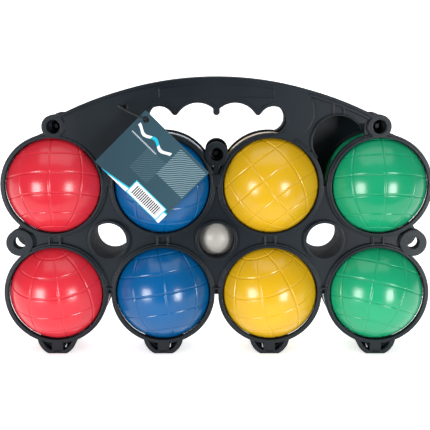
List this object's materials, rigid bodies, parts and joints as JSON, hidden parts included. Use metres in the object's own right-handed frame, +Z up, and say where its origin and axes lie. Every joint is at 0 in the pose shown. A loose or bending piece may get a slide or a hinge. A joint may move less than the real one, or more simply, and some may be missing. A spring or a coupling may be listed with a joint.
{
  "type": "bocce ball set",
  "caption": "Plastic boules set: coloured hollow balls and a jack held in a hinged two-part carry case with an arched finger-grip handle.",
  "frame": {"origin": "on the floor under the middle of the whole box", "axes": "+X to the right along the rows, +Y to the rear, +Z up"},
  "size_m": [0.2976, 0.0758, 0.1944],
  "materials": {
    "case_plastic": "satin moulded",
    "jack_plastic": "satin moulded",
    "printed_card": "printed card, satin",
    "tie_plastic": "thin nylon tie",
    "water": "filling inside the balls",
    "red_plastic": "moulded, glossy",
    "blue_plastic": "moulded, glossy",
    "yellow_plastic": "moulded, glossy",
    "green_plastic": "moulded, glossy"
  },
  "bodies": {
    "case_rear": {"rear_frame": "case_plastic", "foot_red": "case_plastic", "foot_blue": "case_plastic", "foot_yellow": "case_plastic", "foot_green": "case_plastic"},
    "case_front": {"front_frame": "case_plastic", "tag_tie": "tie_plastic"},
    "tag": {"swing_tag": "printed_card"},
    "jack": {"jack_ball": "jack_plastic"},
    "red_lower": {"ball_shell_red_lower": "red_plastic", "ball_plug_red_lower": "red_plastic", "ball_fill_red_lower": "water"},
    "red_upper": {"ball_shell_red_upper": "red_plastic", "ball_plug_red_upper": "red_plastic", "ball_fill_red_upper": "water"},
    "blue_lower": {"ball_shell_blue_lower": "blue_plastic", "ball_plug_blue_lower": "blue_plastic", "ball_fill_blue_lower": "water"},
    "blue_upper": {"ball_shell_blue_upper": "blue_plastic", "ball_plug_blue_upper": "blue_plastic", "ball_fill_blue_upper": "water"},
    "yellow_lower": {"ball_shell_yellow_lower": "yellow_plastic", "ball_plug_yellow_lower": "yellow_plastic", "ball_fill_yellow_lower": "water"},
    "yellow_upper": {"ball_shell_yellow_upper": "yellow_plastic", "ball_plug_yellow_upper": "yellow_plastic", "ball_fill_yellow_upper": "water"},
    "green_lower": {"ball_shell_green_lower": "green_plastic", "ball_plug_green_lower": "green_plastic", "ball_fill_green_lower": "water"},
    "green_upper": {"ball_shell_green_upper": "green_plastic", "ball_plug_green_upper": "green_plastic", "ball_fill_green_upper": "water"}
  },
  "joints": [
    {"name": "case_hinge", "type": "hinge", "parent": "case_rear", "child": "case_front", "pos_m": [0, 0.00195, 0.0036], "axis": [1, 0, 0], "range_deg": [0, 95]},
    {"name": "tag_swing", "type": "hinge", "parent": "case_front", "child": "tag", "pos_m": [-0.04621, -0.035, 0.16725], "axis": [0, 1, 0], "range_deg": [-40, 40]},
    {"name": "jack_turn", "type": "hinge", "parent": "case_rear", "child": "jack", "pos_m": [0, 0.00195, 0.08162], "axis": [0, 1, 0], "continuous": true},
    {"name": "red_lower_turn", "type": "hinge", "parent": "case_rear", "child": "red_lower", "pos_m": [-0.1125, 0.00195, 0.04332], "axis": [0, 1, 0], "continuous": true},
    {"name": "red_upper_turn", "type": "hinge", "parent": "case_rear", "child": "red_upper", "pos_m": [-0.1125, 0.00195, 0.11992], "axis": [0, 1, 0], "continuous": true},
    {"name": "blue_lower_turn", "type": "hinge", "parent": "case_rear", "child": "blue_lower", "pos_m": [-0.0375, 0.00195, 0.04332], "axis": [0, 1, 0], "continuous": true},
    {"name": "blue_upper_turn", "type": "hinge", "parent": "case_rear", "child": "blue_upper", "pos_m": [-0.0375, 0.00195, 0.11992], "axis": [0, 1, 0], "continuous": true},
    {"name": "yellow_lower_turn", "type": "hinge", "parent": "case_rear", "child": "yellow_lower", "pos_m": [0.0375, 0.00195, 0.04332], "axis": [0, 1, 0], "continuous": true},
    {"name": "yellow_upper_turn", "type": "hinge", "parent": "case_rear", "child": "yellow_upper", "pos_m": [0.0375, 0.00195, 0.11992], "axis": [0, 1, 0], "continuous": true},
    {"name": "green_lower_turn", "type": "hinge", "parent": "case_rear", "child": "green_lower", "pos_m": [0.1125, 0.00195, 0.04332], "axis": [0, 1, 0], "continuous": true},
    {"name": "green_upper_turn", "type": "hinge", "parent": "case_rear", "child": "green_upper", "pos_m": [0.1125, 0.00195, 0.11992], "axis": [0, 1, 0], "continuous": true}
  ]
}
